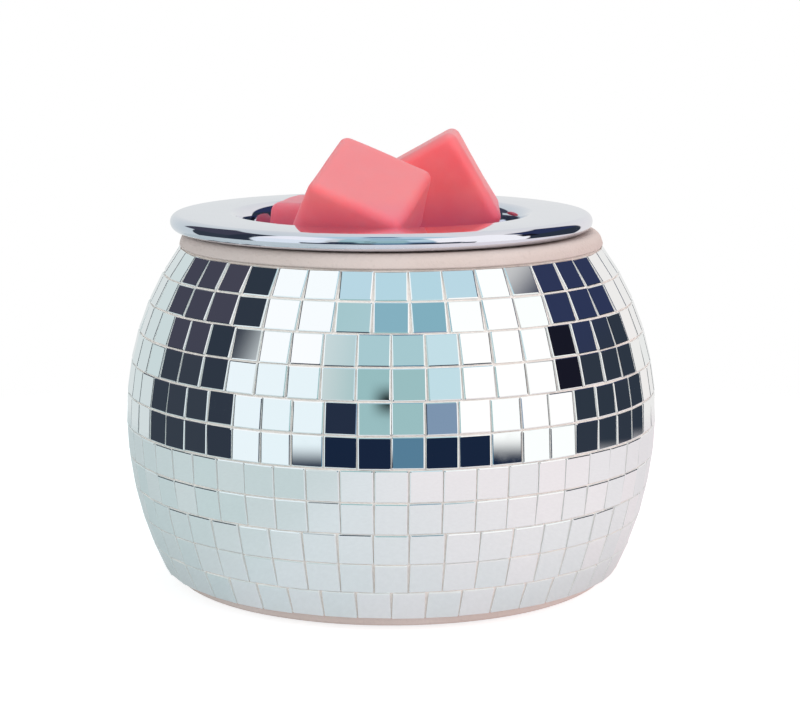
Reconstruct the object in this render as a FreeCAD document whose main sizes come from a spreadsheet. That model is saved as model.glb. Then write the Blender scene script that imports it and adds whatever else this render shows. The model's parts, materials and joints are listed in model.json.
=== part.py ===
"""Mirror-mosaic wax warmer: a tiled ceramic pot, its heater, and a lift-off dish with wax.

Millimetres, +Z up. The origin is on the table, under the middle of the pot.
The front is -Y, and the cord inlet is at the back, +Y.
"""
import FreeCAD, Part
import os
import re
import Sketcher

# Driving dimensions: name, value, what it measures
SIZES = [
    ("foot_height", 1.5, "thickness of the rubber feet"),
    ("foot_radius", 5.5, "radius of one foot"),
    ("foot_count", 4, "number of feet"),
    ("foot_inset", 9.0, "from the base plate's edge to a foot's middle"),
    ("base_recess", 0.5, "the base plate lies this far inside the pot's lower edge"),
    ("base_thickness", 2.5, "thickness of the base plate"),
    ("fit_gap", 0.3, "room around a piece that is set in a rebate or a bore"),
    ("equator_height", 41.5, "height of the widest line above the table"),
    ("equator_radius", 64.15, "radius of the bare pot at its widest"),
    ("upper_curve", 68.3, "radius of the pot's outline above the widest line"),
    ("lower_curve", 84.1, "radius of the pot's outline below the widest line"),
    ("pot_height", 86.8, "height of the pot's top above the table"),
    ("wall", 4.5, "thickness of the pot's wall"),
    ("foot_round", 2.0, "rounding of the pot's lower outer edge"),
    ("ring_bore", 45.0, "radius of the hole in the pot's bottom"),
    ("ring_thickness", 3.4, "thickness of the pot's bottom ring"),
    ("rebate_width", 4.0, "width of the ledge that the base plate pulls against"),
    ("mouth_radius", 42.0, "radius of the pot's mouth"),
    ("lip_thickness", 5.0, "thickness of the pot's top at the mouth"),
    ("seat_width", 2.0, "width of the ledge that carries the heater cup"),
    ("seat_depth", 2.3, "depth of that ledge below the pot's top"),
    ("lip_flat", 3.6, "width of the flat top outside the ledge"),
    ("shoulder_proud", 0.5, "the bare shoulder stands this far outside the tiles"),
    ("tile_size", 7.1, "edge of one square mirror tile"),
    ("tile_thickness", 1.3, "thickness of a tile"),
    ("tile_bond", 0.1, "glue line behind a tile"),
    ("row_gap", 0.38, "gap between rows of tiles"),
    ("column_gap", 0.2, "least gap between columns of tiles"),
    ("band_top", 43.7, "first row's upper edge, along the wall from the widest line"),
    ("dish_radius", 52.0, "outer radius of the dish"),
    ("rim_height", 4.06, "thickness of the dish's rolled rim"),
    ("rim_clearance", 0.44, "the rolled rim hangs this far above the pot"),
    ("dish_gauge", 1.6, "metal thickness of the dish"),
    ("well_depth", 16.0, "depth of the dish's well"),
    ("well_draft", 2.2, "the well narrows by this much towards its floor"),
    ("well_room", 1.3, "least room between the well and the heater cup"),
    ("lip_round", 3.0, "rounding of the well's upper edge"),
    ("well_round", 3.0, "rounding of the well's floor"),
    ("dish_offset", 2.4, "the loose dish lies this far to the left of the middle"),
    ("wax_big", 26.5, "wax cube's wide end"),
    ("wax_small", 23.8, "wax cube's narrow end"),
    ("wax_height", 18.0, "wax cube's height"),
    ("wax_round", 2.2, "rounding of a wax cube"),
    ("cup_gauge", 1.2, "metal thickness of the heater cup"),
    ("cup_round", 1.5, "rounding of the heater cup's lower edge"),
    ("gasket_thickness", 0.5, "thickness of the ring under the cup's flange"),
    ("plate_thickness", 3.7, "thickness of the hot plate"),
    ("head_room", 0.85, "room on both sides of a long screw's head"),
    ("stone_length", 26.0, "heating stone along X"),
    ("stone_width", 12.0, "heating stone along Y"),
    ("stone_thickness", 2.4, "heating stone's thickness"),
    ("electrode_gauge", 0.4, "thickness of an electrode"),
    ("insulator_gauge", 0.3, "thickness of an insulating sheet"),
    ("tab_length", 8.0, "electrode tab beyond the stone"),
    ("tab_width", 5.0, "width of an electrode tab"),
    ("boss_radius", 3.5, "radius of a screw boss under the hot plate"),
    ("boss_room", 1.5, "room between a boss and the stone"),
    ("cup_hole_room", 2.5, "room between a boss and the cup's hole"),
    ("bar_gauge", 1.0, "thickness of the clamp bar"),
    ("screw_radius", 1.5, "shank radius of the small screws"),
    ("screw_head", 2.75, "head radius of the small screws"),
    ("screw_head_height", 2.0, "head height of the screws"),
    ("screw_bite", 2.6, "depth of the small screws' threads in the plate and bosses"),
    ("thread_room", 0.05, "room around a thread"),
    ("hole_room", 0.25, "room around a shank that passes through a hole"),
    ("slot_width", 0.8, "width of a screw's slot"),
    ("slot_depth", 0.9, "depth of a screw's slot"),
    ("long_radius", 1.75, "shank radius of the long screws"),
    ("long_head", 2.9, "head radius of the long screws"),
    ("long_count", 3, "number of long screws, and of hot plate screws"),
    ("long_tip", 3.0, "long screw's end above the base plate"),
    ("spacer_length", 11.8, "length of a spacer sleeve"),
    ("spacer_wall", 1.2, "wall of a spacer sleeve"),
    ("shield_gauge", 0.8, "thickness of the heat shield"),
    ("push_nut_gauge", 0.5, "thickness of a push nut"),
    ("push_nut_width", 2.2, "width of a push nut around the screw"),
    ("insert_length", 8.0, "length of a brass thread insert"),
    ("insert_wall", 1.0, "wall of a thread insert"),
    ("pillar_wall", 1.8, "wall of a base plate pillar around its insert"),
    ("pillar_height", 10.0, "height of a base plate pillar"),
    ("lead_radius", 0.9, "radius of an insulated lead"),
    ("lead_spread", 6.0, "each lead's distance from the middle"),
    ("lead_bend", 3.5, "bend radius of a lead"),
    ("fuse_radius", 1.9, "radius of the thermal fuse"),
    ("fuse_length", 8.0, "length of the thermal fuse's case"),
    ("fuse_pin", 0.5, "radius of the fuse's pin"),
    ("fuse_pin_length", 2.0, "length of the fuse's upper pin"),
    ("sleeve_wall", 0.4, "wall of the fuse's sleeve"),
    ("bush_wall", 1.2, "wall of a bush in the heat shield"),
    ("bush_flange", 0.8, "height and width of a bush's flanges"),
    ("block_length", 22.0, "terminal block along X"),
    ("block_width", 12.0, "terminal block along Y"),
    ("block_height", 13.0, "terminal block's height"),
    ("block_setback", 5.0, "from the leads to the terminal block"),
    ("lead_height", 6.0, "height of a lead's end above the base plate"),
    ("terminal_radius", 1.6, "radius of a terminal screw"),
    ("terminal_depth", 4.0, "depth of a terminal screw in the block"),
    ("vent_count", 8, "number of vents in the base plate"),
    ("vent_width", 2.4, "width of a vent"),
    ("vent_length", 8.0, "length of a vent"),
    ("vent_room", 3.0, "room between a vent and the terminal block"),
    ("gland_bore", 3.1, "radius of the cord grommet's bore"),
    ("gland_wall", 1.2, "wall of the grommet in the pot's hole"),
    ("gland_flange", 2.2, "width of the grommet's outer flange beyond its neck"),
    ("gland_bead", 0.9, "width of the grommet's inner bead beyond its neck"),
    ("gland_rim", 1.5, "thickness of the grommet's flange and bead"),
]

# How the loose wax cubes lie: place from the dish's middle, then turns about Z, Y and X
WAX_PLACES = [
    ("wax_cube_left", -13.3, 8.0, (-13.0, 0.0, 0.0)),
    ("wax_cube_back", 12.5, 1.3, (5.4, 60.0, -76.7)),
    ("wax_cube_front", -6.4, -14.6, (-10.3, 22.7, 29.6)),
]
# The strips of tiles, top to bottom: the rows in each, and how many columns fewer than would fit
TILE_STRIPS = [((1, 2), 0), ((3, 4), 0), ((5, 6), 0), ((7, 8), 1), ((9, 10), 1), ((11,), 2)]
# These rows leave out two tiles at the back, around the cord grommet
GAP_ROWS = (10, 11)
GAP_TILES = 2

# Heights and radii that follow from the driving dimensions
POT_BOTTOM = "(foot_height - base_recess)"
BASE_TOP = "(foot_height + base_thickness)"
RING_TOP = f"({BASE_TOP} + ring_thickness)"
REBATE = "(ring_bore + rebate_width)"
LIP_BOTTOM = "(pot_height - lip_thickness)"
SEAT_Z = "(pot_height - seat_depth)"
SEAT = "(mouth_radius + seat_width)"
FLAT_EDGE = f"({SEAT} + lip_flat)"
TILE_DEPTH = "(tile_bond + tile_thickness)"
BAND_ANGLE = "(band_top / upper_curve * 1 rad)"
SHOULDER_Z = f"(equator_height + (upper_curve + {TILE_DEPTH}) * sin({BAND_ANGLE}) + fit_gap)"
SHOULDER = (f"(equator_radius - upper_curve + (upper_curve + {TILE_DEPTH}) * cos({BAND_ANGLE})"
            " + shoulder_proud)")
ROW_PITCH = "(tile_size + row_gap)"

DISH_TOP = "(pot_height + rim_clearance + rim_height)"
DISH_FLOOR = f"({DISH_TOP} - well_depth)"
FLANGE_UNDER = f"({DISH_TOP} - dish_gauge)"
CUP_OUTER = "(mouth_radius - fit_gap)"
CUP_INNER = f"({CUP_OUTER} - cup_gauge)"
WELL_MOUTH = f"({CUP_INNER} - well_room - dish_offset - dish_gauge)"
WELL_BASE = f"({WELL_MOUTH} - well_draft)"

PLATE_TOP = f"({DISH_FLOOR} - dish_gauge)"
PLATE_BOTTOM = f"({PLATE_TOP} - plate_thickness)"
LONG_CIRCLE = f"({CUP_INNER} - head_room - long_head)"
PLATE_RADIUS = f"({LONG_CIRCLE} - long_head - head_room)"
BOSS_X = "(stone_length / 2 + boss_room + boss_radius)"
CUP_HOLE = f"({BOSS_X} + boss_radius + cup_hole_room)"
PLATE_SCREW_CIRCLE = f"(({CUP_HOLE} + {PLATE_RADIUS}) / 2)"
CUP_UNDER = f"({PLATE_BOTTOM} - cup_gauge)"
CUP_FLANGE_Z = f"({SEAT_Z} + gasket_thickness)"

UPPER_ELECTRODE_Z = f"({PLATE_BOTTOM} - insulator_gauge - electrode_gauge)"
STONE_Z = f"({UPPER_ELECTRODE_Z} - stone_thickness)"
LOWER_ELECTRODE_Z = f"({STONE_Z} - electrode_gauge)"
STACK_BOTTOM = f"({LOWER_ELECTRODE_Z} - insulator_gauge)"
BAR_BOTTOM = f"({STACK_BOTTOM} - bar_gauge)"

SHIELD_TOP = f"({CUP_UNDER} - spacer_length)"
SHIELD_BOTTOM = f"({SHIELD_TOP} - shield_gauge)"
SPACER = "(long_radius + hole_room + spacer_wall)"
INSERT_RADIUS = "(long_radius + thread_room + insert_wall)"
PILLAR_TOP = f"({BASE_TOP} + pillar_height)"
LEAD_Y = "(stone_width / 2 + tab_length - tab_width / 2)"
BLOCK_FRONT = f"({LEAD_Y} + block_setback)"
BLOCK_Y = f"({BLOCK_FRONT} + block_width / 2)"
LEAD_Z = f"({BASE_TOP} + lead_height)"
BUSH_BORE = "(lead_radius + hole_room)"
BUSH_NECK = f"({BUSH_BORE} + bush_wall)"
FUSE_TOP = f"({UPPER_ELECTRODE_Z} - fuse_pin_length)"

GLAND_ANGLE = f"((band_top - {min(GAP_ROWS)} * {ROW_PITCH}) / lower_curve * 1 rad)"
GLAND_NECK = "(gland_bore + gland_wall)"
GLAND_HOLE = f"({GLAND_NECK} + hole_room)"

doc = FreeCAD.newDocument("wax_warmer")
sheet = doc.addObject("Spreadsheet::Sheet", "Sizes")
for line, (alias, number, note) in enumerate(SIZES, start=1):
    sheet.set(f"A{line}", note)
    sheet.set(f"B{line}", str(number))
    sheet.setAlias(f"B{line}", alias)
doc.recompute()

ALIAS = re.compile(r"\b(" + "|".join(alias for alias, number, note in SIZES) + r")\b")
LEFT, RIGHT = 1, -1
HORIZONTAL_AXIS, VERTICAL_AXIS = -1, -2
SAME = 0.0001
CLOSE_ENOUGH = 0.001
NODES = []


def expression(formula):
    """The formula with each size's name pointing at its cell."""
    return ALIAS.sub(r"Sizes.\1", formula)


def size(formula):
    """The number that a formula gives now."""
    return float(sheet.evalExpression(expression(formula)))


def bind(thing, **formulas):
    """Tie properties to formulas: a double underscore in a name stands for a dot."""
    for name, formula in formulas.items():
        thing.setExpression(name.replace("__", "."), expression(formula))


def place(thing, x="0", y="0", z="0"):
    bind(thing, Placement__Base__x=x, Placement__Base__y=y, Placement__Base__z=z)


def node(label):
    """A new body whose label names its file."""
    body = doc.addObject("PartDesign::Body", label)
    body.Label = label
    body.AllowCompound = True
    NODES.append(body)
    return body


def origin(body, role):
    return next(item for item in body.Origin.OriginFeatures if item.Role == role)


def cylinder(body, radius, height, x="0", y="0", z="0", cut=False):
    kind = "Subtractive" if cut else "Additive"
    feature = body.newObject(f"PartDesign::{kind}Cylinder", "Round")
    bind(feature, Radius=radius, Height=height)
    place(feature, x, y, z)
    return feature


def block(body, length, width, height, x="0", y="0", z="0", cut=False):
    """A box whose middle is over (x, y) and whose underside is at z."""
    kind = "Subtractive" if cut else "Additive"
    feature = body.newObject(f"PartDesign::{kind}Box", "Block")
    bind(feature, Length=length, Width=width, Height=height)
    place(feature, f"{x} - {length} / 2", f"{y} - {width} / 2", z)
    return feature


def ring(body, features, count, angle="360"):
    """Copies of features around the Z axis."""
    pattern = body.newObject("PartDesign::PolarPattern", "Ring")
    pattern.Originals = features
    pattern.Axis = (origin(body, "Z_Axis"), [""])
    bind(pattern, Occurrences=count, Angle=angle)
    pattern.Refine = False
    body.Tip = pattern
    return pattern


def arc_through(start, end, radius, side):
    """The shorter arc between two points, its centre to the left or right of the way."""
    way = end - start
    sideways = FreeCAD.Vector(-way.y, way.x, 0).normalize() * side
    middle = (start + end) * 0.5
    center = middle + sideways * (radius ** 2 - (way.Length / 2) ** 2) ** 0.5
    circle = Part.Circle(center, FreeCAD.Vector(0, 0, 1), radius)
    first, last = (start, end) if side == LEFT else (end, start)
    return Part.ArcOfCircle(circle, circle.parameter(first), circle.parameter(last))


def outline(body, corners):
    """A closed sketch of radius and height. A corner may add the arc to the next corner."""
    sketch = body.newObject("Sketcher::SketchObject", "Outline")
    sketch.AttachmentSupport = [(origin(body, "XZ_Plane"), "")]
    sketch.MapMode = "FlatFace"
    points = [FreeCAD.Vector(size(corner[0]), size(corner[1]), 0) for corner in corners]
    ends = []
    for index, corner in enumerate(corners):
        start, end = points[index], points[(index + 1) % len(points)]
        if len(corner) == 2:
            side = sketch.addGeometry(Part.LineSegment(start, end))
            ends.append((side, 1, 2))
            continue
        radius, turn = corner[2:]
        side = sketch.addGeometry(arc_through(start, end, size(radius), turn))
        ends.append((side, 1, 2) if turn == LEFT else (side, 2, 1))
        limit = sketch.addConstraint(Sketcher.Constraint("Radius", side, size(radius)))
        sketch.setExpression(f"Constraints[{limit}]", expression(radius))
    for index, (side, first, last) in enumerate(ends):
        following = ends[(index + 1) % len(ends)]
        sketch.addConstraint(Sketcher.Constraint("Coincident", side, last, following[0], following[1]))
    for (side, first, last), corner, point in zip(ends, corners, points):
        pin(sketch, side, first, "DistanceX", VERTICAL_AXIS, corner[0], point.x)
        pin(sketch, side, first, "DistanceY", HORIZONTAL_AXIS, corner[1], point.y)
    return sketch


def pin(sketch, side, end, kind, axis, formula, number):
    """Hold a point of a sketch on an axis, or at a distance from it."""
    if formula == "0":
        sketch.addConstraint(Sketcher.Constraint("PointOnObject", side, end, axis))
        return
    limit = sketch.addConstraint(Sketcher.Constraint(kind, HORIZONTAL_AXIS, 1, side, end, number))
    sketch.setExpression(f"Constraints[{limit}]", expression(formula))


def turned(body, corners):
    """A solid of revolution about the body's Z axis."""
    sketch = outline(body, corners)
    feature = body.newObject("PartDesign::Revolution", "Turned")
    feature.Profile = sketch
    feature.ReferenceAxis = (sketch, ["V_Axis"])
    feature.Angle = 360
    doc.recompute()
    return feature


def rounded(body, circles):
    """Fillets on a turned solid: each circle's radius, its height and the rounding."""
    for radius, height, rounding in circles:
        base = body.Tip
        names = []
        for number, edge in enumerate(base.Shape.Edges, start=1):
            curve = edge.Curve
            if not isinstance(curve, Part.Circle):
                continue
            if abs(curve.Radius - size(radius)) < SAME and abs(curve.Center.z - size(height)) < SAME:
                names.append(f"Edge{number}")
        fillet = body.newObject("PartDesign::Fillet", "Rounded")
        fillet.Base = (base, names)
        bind(fillet, Radius=rounding)
        doc.recompute()


def wall_radius(height, curve, depth="0"):
    """The pot wall's radius at a height, on its outside or at a depth inside it."""
    return (f"(equator_radius - {curve} + sqrt(({curve} - {depth}) ^ 2"
            f" - ({height} - equator_height) ^ 2))")


def on_wall(angle, curve, lift):
    """Radius and height of a point that stands off the wall, at an angle on its curve."""
    radius = f"(equator_radius - {curve} + ({curve} + {lift}) * cos({angle}))"
    height = f"(equator_height + ({curve} + {lift}) * sin({angle}))"
    return radius, height


def stand_on_wall(thing, lift):
    """Place a piece's Z axis square to the back wall, where the cord comes in."""
    radius, height = on_wall(GLAND_ANGLE, "lower_curve", lift)
    tilt(thing, FreeCAD.Vector(1, 0, 0), f"{GLAND_ANGLE} - 90 deg")
    place(thing, y=radius, z=height)


def tilt(thing, axis, angle):
    thing.Placement = FreeCAD.Placement(FreeCAD.Vector(), FreeCAD.Rotation(axis, 1))
    bind(thing, Placement__Rotation__Angle=angle)


def make_pot():
    body = node("pot_shell")
    rise = f"(pot_height - {SHOULDER_Z})"
    run = f"({SHOULDER} - {FLAT_EDGE})"
    shoulder_curve = f"(({rise} ^ 2 + {run} ^ 2) / (2 * {rise}))"
    turned(body, [
        (REBATE, POT_BOTTOM),
        (wall_radius(POT_BOTTOM, "lower_curve"), POT_BOTTOM, "lower_curve", LEFT),
        ("equator_radius", "equator_height", "upper_curve", LEFT),
        (wall_radius(SHOULDER_Z, "upper_curve"), SHOULDER_Z),
        (SHOULDER, SHOULDER_Z, shoulder_curve, LEFT),
        (FLAT_EDGE, "pot_height"),
        (SEAT, "pot_height"),
        (SEAT, SEAT_Z),
        ("mouth_radius", SEAT_Z),
        ("mouth_radius", LIP_BOTTOM),
        (wall_radius(LIP_BOTTOM, "upper_curve", "wall"), LIP_BOTTOM, "upper_curve - wall", RIGHT),
        ("equator_radius - wall", "equator_height", "lower_curve - wall", RIGHT),
        (wall_radius(RING_TOP, "lower_curve", "wall"), RING_TOP),
        ("ring_bore", RING_TOP),
        ("ring_bore", BASE_TOP),
        (REBATE, BASE_TOP),
    ])
    rounded(body, [(wall_radius(POT_BOTTOM, "lower_curve"), POT_BOTTOM, "foot_round")])
    hole = cylinder(body, GLAND_HOLE, "4 * wall", cut=True)
    stand_on_wall(hole, "-2 * wall")


def tile_seat(center):
    """Where the back of a tile's middle lies: radius, height and slope."""
    curve = "upper_curve" if size(center) > 0 else "lower_curve"
    angle = f"({center} / {curve} * 1 rad)"
    radius, height = on_wall(angle, curve, "tile_bond")
    return radius, height, angle


def columns_that_fit(center):
    """How many tiles fit around, at the tighter end of a row."""
    radius, height, angle = tile_seat(center)
    tight = f"({radius} - tile_size / 2 * abs(sin({angle})))"
    return f"floor(180 deg / atan((tile_size + column_gap) / 2 / {tight}))"


def make_tiles():
    for number, (rows, fewer) in enumerate(TILE_STRIPS, start=1):
        body = node(f"mirror_strip_{number}")
        centers = {row: f"(band_top - {row - 0.5} * {ROW_PITCH})" for row in rows}
        tight_row = rows[0] if size(centers[rows[0]]) > 0 else rows[-1]
        count = f"({columns_that_fit(centers[tight_row])} - {fewer})"
        step = f"(360 deg / {count})"
        has_gap = any(row in GAP_ROWS for row in rows)
        first = (GAP_TILES + 1) / 2 if has_gap else 0.5
        tilt(body, FreeCAD.Vector(0, 0, 1), f"90 deg + {first} * {step}")
        for row in rows:
            radius, height, angle = tile_seat(centers[row])
            tile = body.newObject("PartDesign::AdditiveBox", "Tile")
            bind(tile, Length="tile_thickness", Width="tile_size", Height="tile_size")
            tilt(tile, FreeCAD.Vector(0, 1, 0), f"-{angle}")
            place(tile, f"{radius} + tile_size / 2 * sin({angle})", "-tile_size / 2",
                  f"{height} - tile_size / 2 * cos({angle})")
            if row in GAP_ROWS:
                ring(body, [tile], f"{count} - {GAP_TILES}", f"360 deg - {GAP_TILES + 1} * {step}")
            else:
                ring(body, [tile], count)


def make_dish():
    body = node("wax_dish")
    place(body, x="-dish_offset")
    bead = "(rim_height / 2)"
    bead_x = f"(dish_radius - {bead})"
    bead_z = f"({DISH_TOP} - {bead})"
    bead_start = f"({bead_x} - sqrt({bead} ^ 2 - ({bead} - dish_gauge) ^ 2))"
    turned(body, [
        ("0", PLATE_TOP),
        (f"{WELL_BASE} + dish_gauge", PLATE_TOP),
        (f"{WELL_MOUTH} + dish_gauge", FLANGE_UNDER),
        (bead_start, FLANGE_UNDER, bead, LEFT),
        (bead_x, f"{DISH_TOP} - rim_height", bead, LEFT),
        ("dish_radius", bead_z, bead, LEFT),
        (bead_x, DISH_TOP),
        (WELL_MOUTH, DISH_TOP),
        (WELL_BASE, DISH_FLOOR),
        ("0", DISH_FLOOR),
    ])
    rounded(body, [
        (WELL_MOUTH, DISH_TOP, "lip_round"),
        (WELL_BASE, DISH_FLOOR, "well_round"),
        (f"{WELL_MOUTH} + dish_gauge", FLANGE_UNDER, "lip_round"),
        (f"{WELL_BASE} + dish_gauge", PLATE_TOP, "well_round + dish_gauge"),
    ])
    return body


def wax_core():
    """A wax cube without its rounding: what a ball of that radius rolls around."""
    rounding = size("wax_round")
    slope = (size("wax_big") - size("wax_small")) / 2 / size("wax_height")
    inset = rounding * (1 + slope ** 2) ** 0.5
    wide = size("wax_big") / 2 - slope * rounding - inset
    narrow = size("wax_small") / 2 + slope * rounding - inset
    top = size("wax_height") - rounding
    return Part.makeWedge(-wide, rounding, -wide, -narrow, -narrow, wide, top, wide, narrow, narrow)


def make_wax(dish):
    """Each cube comes straight down until it lies a hair off the dish or another cube."""
    upright = FreeCAD.Rotation(FreeCAD.Vector(1, 0, 0), 90)
    rounding, gap = size("wax_round"), size("fit_gap")
    start = size(DISH_TOP) + 3 * size("wax_big")
    below = [(dish.Shape, rounding + gap)]
    for label, x, y, turns in WAX_PLACES:
        body = node(label)
        wedge = body.newObject("PartDesign::AdditiveWedge", "Wedge")
        bind(wedge, Xmin="-wax_big / 2", Xmax="wax_big / 2", Zmin="-wax_big / 2", Zmax="wax_big / 2",
             Ymin="0", Ymax="wax_height", X2min="-wax_small / 2", X2max="wax_small / 2",
             Z2min="-wax_small / 2", Z2max="wax_small / 2")
        doc.recompute()
        fillet = body.newObject("PartDesign::Fillet", "Rounded")
        fillet.Base = (wedge, [""])
        fillet.UseAllEdges = True
        bind(fillet, Radius="wax_round")
        spot = FreeCAD.Vector(x - size("dish_offset"), y, start)
        lying = FreeCAD.Placement(spot, FreeCAD.Rotation(*turns).multiply(upright))
        core = wax_core()
        fall = start
        while fall > CLOSE_ENOUGH:
            core.Placement = lying
            fall = min(core.distToShape(shape)[0] - room for shape, room in below)
            lying.Base.z -= max(fall, 0)
        body.Placement = lying
        below.append((core, 2 * rounding + gap))


def make_cup():
    body = node("heater_cup")
    turned(body, [
        (CUP_HOLE, CUP_UNDER),
        (CUP_OUTER, CUP_UNDER),
        (CUP_OUTER, CUP_FLANGE_Z),
        (f"{SEAT} - fit_gap", CUP_FLANGE_Z),
        (f"{SEAT} - fit_gap", f"{CUP_FLANGE_Z} + cup_gauge"),
        (CUP_INNER, f"{CUP_FLANGE_Z} + cup_gauge"),
        (CUP_INNER, PLATE_BOTTOM),
        (CUP_HOLE, PLATE_BOTTOM),
    ])
    rounded(body, [(CUP_OUTER, CUP_UNDER, "cup_round")])
    drilled(body, "screw_radius + hole_room", PLATE_SCREW_CIRCLE, CUP_UNDER, "cup_gauge")
    drilled(body, "long_radius + hole_room", LONG_CIRCLE, CUP_UNDER, "cup_gauge")

    gasket = node("cup_gasket")
    cylinder(gasket, f"{SEAT} - fit_gap", "gasket_thickness", z=SEAT_Z)
    cylinder(gasket, "mouth_radius", "gasket_thickness", z=SEAT_Z, cut=True)


def on_circle(circle, along):
    """A spot on a circle around Z: at the front or at the right side."""
    return ("0", f"-{circle}") if along == "front" else (circle, "0")


def drilled(body, radius, circle, bottom, depth, count="long_count", along="front"):
    """Round holes spread evenly on a circle."""
    x, y = on_circle(circle, along)
    hole = cylinder(body, radius, depth, x, y, bottom, cut=True)
    ring(body, [hole], count)


def collars(label, outer, inner, height, bottom, circle=LONG_CIRCLE):
    """Plain rings on the circle of the long screws."""
    body = node(label)
    x, y = on_circle(circle, "front")
    parts = [cylinder(body, outer, height, x, y, bottom), cylinder(body, inner, height, x, y, bottom, cut=True)]
    ring(body, parts, "long_count")


def screws(label, shank, head, length, seat, circle, head_up, count="long_count", along="front"):
    """Slotted screws on a circle. The heads rest on the height called seat."""
    body = node(label)
    x, y = on_circle(circle, along)
    head_z = seat if head_up else f"{seat} - screw_head_height"
    shank_z = f"{seat} - {length}" if head_up else seat
    slot_z = f"{seat} + screw_head_height - slot_depth" if head_up else head_z
    parts = [
        cylinder(body, head, "screw_head_height", x, y, head_z),
        cylinder(body, shank, length, x, y, shank_z),
        block(body, f"(2 * {head})", "slot_width", "slot_depth", x, y, slot_z, cut=True),
    ]
    ring(body, parts, count)


def make_hot_plate():
    body = node("hot_plate")
    cylinder(body, PLATE_RADIUS, "plate_thickness", z=PLATE_BOTTOM)
    boss = cylinder(body, "boss_radius", f"{PLATE_BOTTOM} - {STACK_BOTTOM}", BOSS_X, z=STACK_BOTTOM)
    ring(body, [boss], "2")
    thread, depth = "screw_radius + thread_room", "screw_bite + fit_gap"
    drilled(body, thread, BOSS_X, STACK_BOTTOM, depth, "2", "side")
    drilled(body, thread, PLATE_SCREW_CIRCLE, PLATE_BOTTOM, depth)
    screws("hot_plate_screws", "screw_radius", "screw_head", "(cup_gauge + screw_bite)", CUP_UNDER,
           PLATE_SCREW_CIRCLE, head_up=False)


def flat_piece(label, gauge, bottom, tab_x=None):
    """A layer of the heating stack. An electrode has a tab at the back for its lead."""
    body = node(label)
    block(body, "stone_length", "stone_width", gauge, z=bottom)
    if tab_x:
        block(body, "tab_width", "tab_length", gauge, tab_x, "(stone_width + tab_length) / 2", bottom)


def make_heater():
    flat_piece("upper_insulator", "insulator_gauge", f"{PLATE_BOTTOM} - insulator_gauge")
    flat_piece("upper_electrode", "electrode_gauge", UPPER_ELECTRODE_Z, "-lead_spread")
    flat_piece("ptc_stone", "stone_thickness", STONE_Z)
    flat_piece("lower_electrode", "electrode_gauge", LOWER_ELECTRODE_Z, "lead_spread")
    flat_piece("lower_insulator", "insulator_gauge", STACK_BOTTOM)
    bar = node("clamp_bar")
    block(bar, f"(2 * ({BOSS_X} + boss_radius))", "stone_width", "bar_gauge", z=BAR_BOTTOM)
    drilled(bar, "screw_radius + hole_room", BOSS_X, BAR_BOTTOM, "bar_gauge", "2", "side")
    screws("clamp_screws", "screw_radius", "screw_head", "(bar_gauge + screw_bite)", BAR_BOTTOM,
           BOSS_X, False, "2", "side")


def make_shield():
    body = node("heat_shield")
    cylinder(body, CUP_OUTER, "shield_gauge", z=SHIELD_BOTTOM)
    drilled(body, "long_radius + hole_room", LONG_CIRCLE, SHIELD_BOTTOM, "shield_gauge")
    for side in ("", "-"):
        cylinder(body, f"{BUSH_NECK} + hole_room", "shield_gauge", f"{side}lead_spread", LEAD_Y,
                 SHIELD_BOTTOM, cut=True)
    collars("spacer_sleeves", SPACER, "long_radius + hole_room", "spacer_length", SHIELD_TOP)
    collars("push_nuts", "long_radius + push_nut_width", "long_radius + thread_room", "push_nut_gauge",
            f"{SHIELD_BOTTOM} - push_nut_gauge")
    bushes = node("shield_bushes")
    for side in ("", "-"):
        x = f"{side}lead_spread"
        low, high = f"({SHIELD_BOTTOM} - bush_flange)", f"({SHIELD_TOP} + bush_flange)"
        rim = f"{BUSH_NECK} + hole_room + bush_flange"
        cylinder(bushes, rim, "bush_flange", x, LEAD_Y, low)
        cylinder(bushes, BUSH_NECK, f"{high} - {low}", x, LEAD_Y, low)
        cylinder(bushes, rim, "bush_flange", x, LEAD_Y, SHIELD_TOP)
        cylinder(bushes, BUSH_BORE, f"{high} - {low}", x, LEAD_Y, low, cut=True)


def make_base():
    body = node("base_plate")
    cylinder(body, f"{REBATE} - fit_gap", "base_thickness", z="foot_height")
    x, y = on_circle(LONG_CIRCLE, "front")
    pillar = cylinder(body, f"{INSERT_RADIUS} + pillar_wall", "pillar_height", x, y, BASE_TOP)
    pocket = cylinder(body, f"{INSERT_RADIUS} + thread_room", "insert_length", x, y,
                      f"{PILLAR_TOP} - insert_length", cut=True)
    ring(body, [pillar, pocket], "long_count")
    vent_end = f"({BLOCK_FRONT} - vent_room)"
    vent = block(body, "vent_width", "vent_length", "base_thickness", "0",
                 f"(vent_length / 2 - {vent_end})", "foot_height", cut=True)
    ring(body, [vent], "vent_count")
    cylinder(body, "screw_radius + thread_room", "base_thickness", "0", BLOCK_Y, "foot_height", cut=True)
    collars("thread_inserts", INSERT_RADIUS, "long_radius + thread_room", "insert_length",
            f"{PILLAR_TOP} - insert_length")
    screws("long_screws", "long_radius", "long_head", f"({PLATE_BOTTOM} - {BASE_TOP} - long_tip)", PLATE_BOTTOM,
           LONG_CIRCLE, head_up=True)
    feet = node("rubber_feet")
    foot = cylinder(feet, "foot_radius", "foot_height", y=f"-({REBATE} - fit_gap - foot_inset)")
    ring(feet, [foot], "foot_count")
    tilt(feet, FreeCAD.Vector(0, 0, 1), "180 deg / foot_count")


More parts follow.
